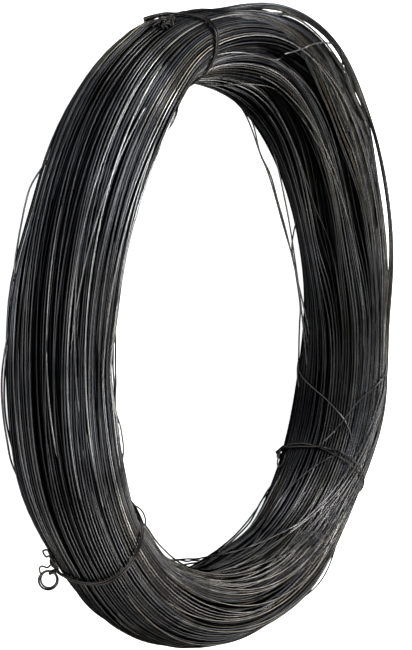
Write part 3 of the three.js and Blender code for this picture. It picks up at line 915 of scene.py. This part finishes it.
# how far apart the two strands of a tie lie, at places on the section; where it changes sign they cross
tieSpacing = {
    "back_tie": [(10, 0.0024), (60, 0.0024), (240, 0.0030), (330, 0.0030), (370, 0.0024)],
    "left_tie": [(38, 0.0022), (200, 0.0018), (230, 0.0010), (330, 0.0010), (360, 0.0020),
                 (398, 0.0022)],
    "right_tie": [(130, 0.0014), (148, -0.0040), (175, -0.0036), (195, 0), (215, 0.0056), (245, 0.0064),
                  (275, 0.0034), (290, 0.0018), (490, 0.0018)],
}

# the lumps of wire wound round a knot: from and to as angle, place on the section and height in
# millimetres, then radius, rounds and how many strands
tieLumps = {
    "back_tie": [((108.0, -9, 1.0), (110.2, -12, 0.6), 0.0032, 0.9, 4),
                 ((109.9, -3, 1.4), (111.6, -9, 0.8), 0.0032, 0.9, 4),
                 ((110.6, -15, 0.8), (112.6, -15, 0.4), 0.0026, 0.7, 3)],
    "left_tie": [((218.6, 36, 1.2), (216.6, 33, 2.2), 0.0026, 1.5, 3)],
    "right_tie": [((320.2, 128, 2.2), (318.6, 134, 2.6), 0.0016, 1.2, 2)],
}

tieCurls = {
    # loose ends and bights: angle, place on the section, and height of the wire's middle in millimetres
    "back_tie": [
        [(107, -6, 0), (108.6, -11, 4.0), (109.8, -16, 3.2), (110.6, -21, 0)],
        [(108.4, 1, 0), (110, -5, 3.4), (111.4, -12, 2.6), (112.4, -20, 0)],
        [(106.6, -4, 0), (109, -8, 4), (111.4, -6, 2.4), (113, -2, 0)],
    ],
    "left_tie": [
        [(217, 34, 3), (215.5, 32, 2), (213.8, 30, 2), (213.5, 30, 5.5), (214.8, 30, 5.5),
         (215.2, 31, 3), (216.5, 30, 3)],
        [(217.0, 32, 4), (216.9, 30, 8.5), (215.9, 29, 11.5), (215.8, 29, 14), (216.6, 29, 15.5),
         (217.4, 29, 15)],
        [(222, 224, -2), *seenAt("longCurl", 217, 0), (212.8, 220, -2)],
    ],
    "right_tie": [
        [(320.5, 138, 4), (318.5, 140, 4.5), (316.5, 140, 3.5), (315.8, 141, 0.5), (317.2, 144, -0.5),
         (319.5, 146, 0.5)],
    ],
}


def tieLoop(tie, strand):
    # once round the bundle from one side of the knot to the other; the strands part from the knot by a
    # smooth step, and where they come closer than they are thick the second one rises over the first
    along = np.linspace(0, 1, tieWire["stations"]["round"])
    side = tie["knotAt"] + 360 * along
    parted = smoothstep(np.minimum(along, 1 - along), tieWire["knotShare"])
    spacing = np.interp(side, *np.transpose(tieSpacing[tie["name"]]))
    apart = tieWire["knotSpacing"] * (1 - parted) + spacing * parted
    over = np.sqrt(np.maximum((2 * tieWire["radius"]) ** 2 - apart ** 2, 0))
    lift = (1 - parted) * tailRadius() + max(strand, 0) * over
    angle = tieAngle(tie, side) + np.degrees(strand * apart / 2 / bundle["radius"])
    height = tieWire["gap"] + tieWire["radius"] + lift
    path = bundlePoint(angle, side, height)
    path[:, 2] = np.maximum(path[:, 2], tieWire["gap"] + tieWire["radius"])
    outward = bundlePoint(angle, side, height + 0.001) - path + 1e-6
    return tubeAlong(path, tieWire["radius"], tieWire["sides"], outward)


def tailRadius():
    # from the middle of four strands that lie together to the middle of each
    return tieWire["radius"] * math.sqrt(2)


def tailPoint(tie, along):
    # on the tail's middle line, along metres from the knot, by its turn round the coil, slide round the
    # section and rise
    height = tieWire["gap"] + tailRadius() + tieWire["radius"] + tie["tailRise"] * along
    angle = tieAngle(tie, tie["knotAt"]) + np.degrees(tie["tailTurn"] * along / bundle["radius"])
    side = tie["knotAt"] + np.degrees(tie["tailSlide"] * along / (bundle["depth"] / 2))
    return bundlePoint(angle, side, height)


def wound(middle, radius, turn):
    # a strand wound round a nearly straight line, turned round it by turn in radians at each point
    direction = middle[-1] - middle[0]
    direction /= np.linalg.norm(direction)
    across = np.cross([0, 0, 1], direction)
    across /= np.linalg.norm(across)
    over = np.cross(direction, across)
    spoke = np.cos(turn)[:, None] * across + np.sin(turn)[:, None] * over
    return tubeAlong(middle + spoke * radius, tieWire["radius"], tieWire["sides"], spoke)


def tieTail(tie):
    # four strands wound round each other along the tail's middle line
    along = np.linspace(-tieWire["tailRoot"], tie["tailLength"], tieWire["stations"]["tail"])
    turn = 2 * np.pi * along / tieWire["pitch"]
    return [wound(tailPoint(tie, along), tailRadius(), turn + k * np.pi / 2) for k in range(4)]


def tieLump(start, end, radius, rounds, strands):
    # strands wound round the line from start to end, fuller in the middle, where they cross over the knot
    along = np.linspace(0, 1, tieWire["stations"]["lump"])
    line = np.array(start) + (np.array(end) - np.array(start)) * along[:, None]
    middle = bundlePoint(line[:, 0], line[:, 1], line[:, 2] / 1000)
    full = np.sin(np.pi * along) ** tieWire["lumpPower"]
    swell = radius * (tieWire["lumpEnds"] + (1 - tieWire["lumpEnds"]) * full)[:, None]
    return [wound(middle, swell, 2 * np.pi * (rounds * along + k / strands)) for k in range(strands)]


eye = {
    "sizes": (0.0150, 0.0130), "tilts": (-8, 12),  # of its two rings
    "facing": (-0.86, 0.1, 0.5), "reaches": (-0.43, -0.95, -0.32),
    "start": 0.6,     # along the tail, as a share
    "gap": 0.04,      # radians from a ring's end to its start
    "spacing": 1.05,  # wire radii from the middle to a ring
}


def tieEye(tie):
    # the bight of the doubled wire, two rings a few degrees apart that meet at the tail
    facing = np.array(eye["facing"]) / np.linalg.norm(eye["facing"])
    across = np.cross(facing, eye["reaches"])
    across /= np.linalg.norm(across)
    reaches = np.cross(across, facing)
    tubes = []
    for size, tilt, half in zip(eye["sizes"], np.radians(eye["tilts"]), (-1, 1)):
        first = across * math.cos(tilt) + facing * math.sin(tilt)
        turn = np.linspace(eye["gap"], 2 * np.pi - eye["gap"], tieWire["stations"]["eye"])
        ring = np.sin(turn)[:, None] * first - np.cos(turn)[:, None] * reaches
        path = tailPoint(tie, tie["tailLength"] * eye["start"]) + reaches * size / 2 + ring * size / 2
        path = path + facing * half * tieWire["radius"] * eye["spacing"]
        tubes.append(tubeAlong(path, tieWire["radius"], tieWire["sides"], ring))
    return tubes


def tiePiece(tie):
    # two strands round the bundle, the twisted tail, the left tie's eye, then lumps and loose ends
    tubes = [tieLoop(tie, -1), tieLoop(tie, 1)] + tieTail(tie)
    if tie["name"] == "left_tie":
        tubes += tieEye(tie)
    for lump in tieLumps[tie["name"]]:
        tubes += tieLump(*lump)
    for knots in tieCurls[tie["name"]]:
        angle, side, height = through(unwound(knots), looseWire["steps"]).T
        radius = tieWire["radius"] * tieWire["curlShare"]
        tubes.append(openTube(angle, side, height / 1000, 0.0, tieWire["curlSides"], radius))
    corners, quads, caps = joinedTubes(tubes)
    piece = newPiece(tie["name"] + "_wire", corners, quads, caps, tieSteel)
    addTone(piece, np.full(len(corners), tieWire["tone"]), np.full(len(corners), tieWire["warmth"]))
    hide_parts(tie["name"])


tieSteel = annealedWire("darker annealed tying wire", "#060607", "#5a5a5c", "#5a544e", (0.3, 0.2))

for tie in ties:
    tiePiece(tie)
print("ties")
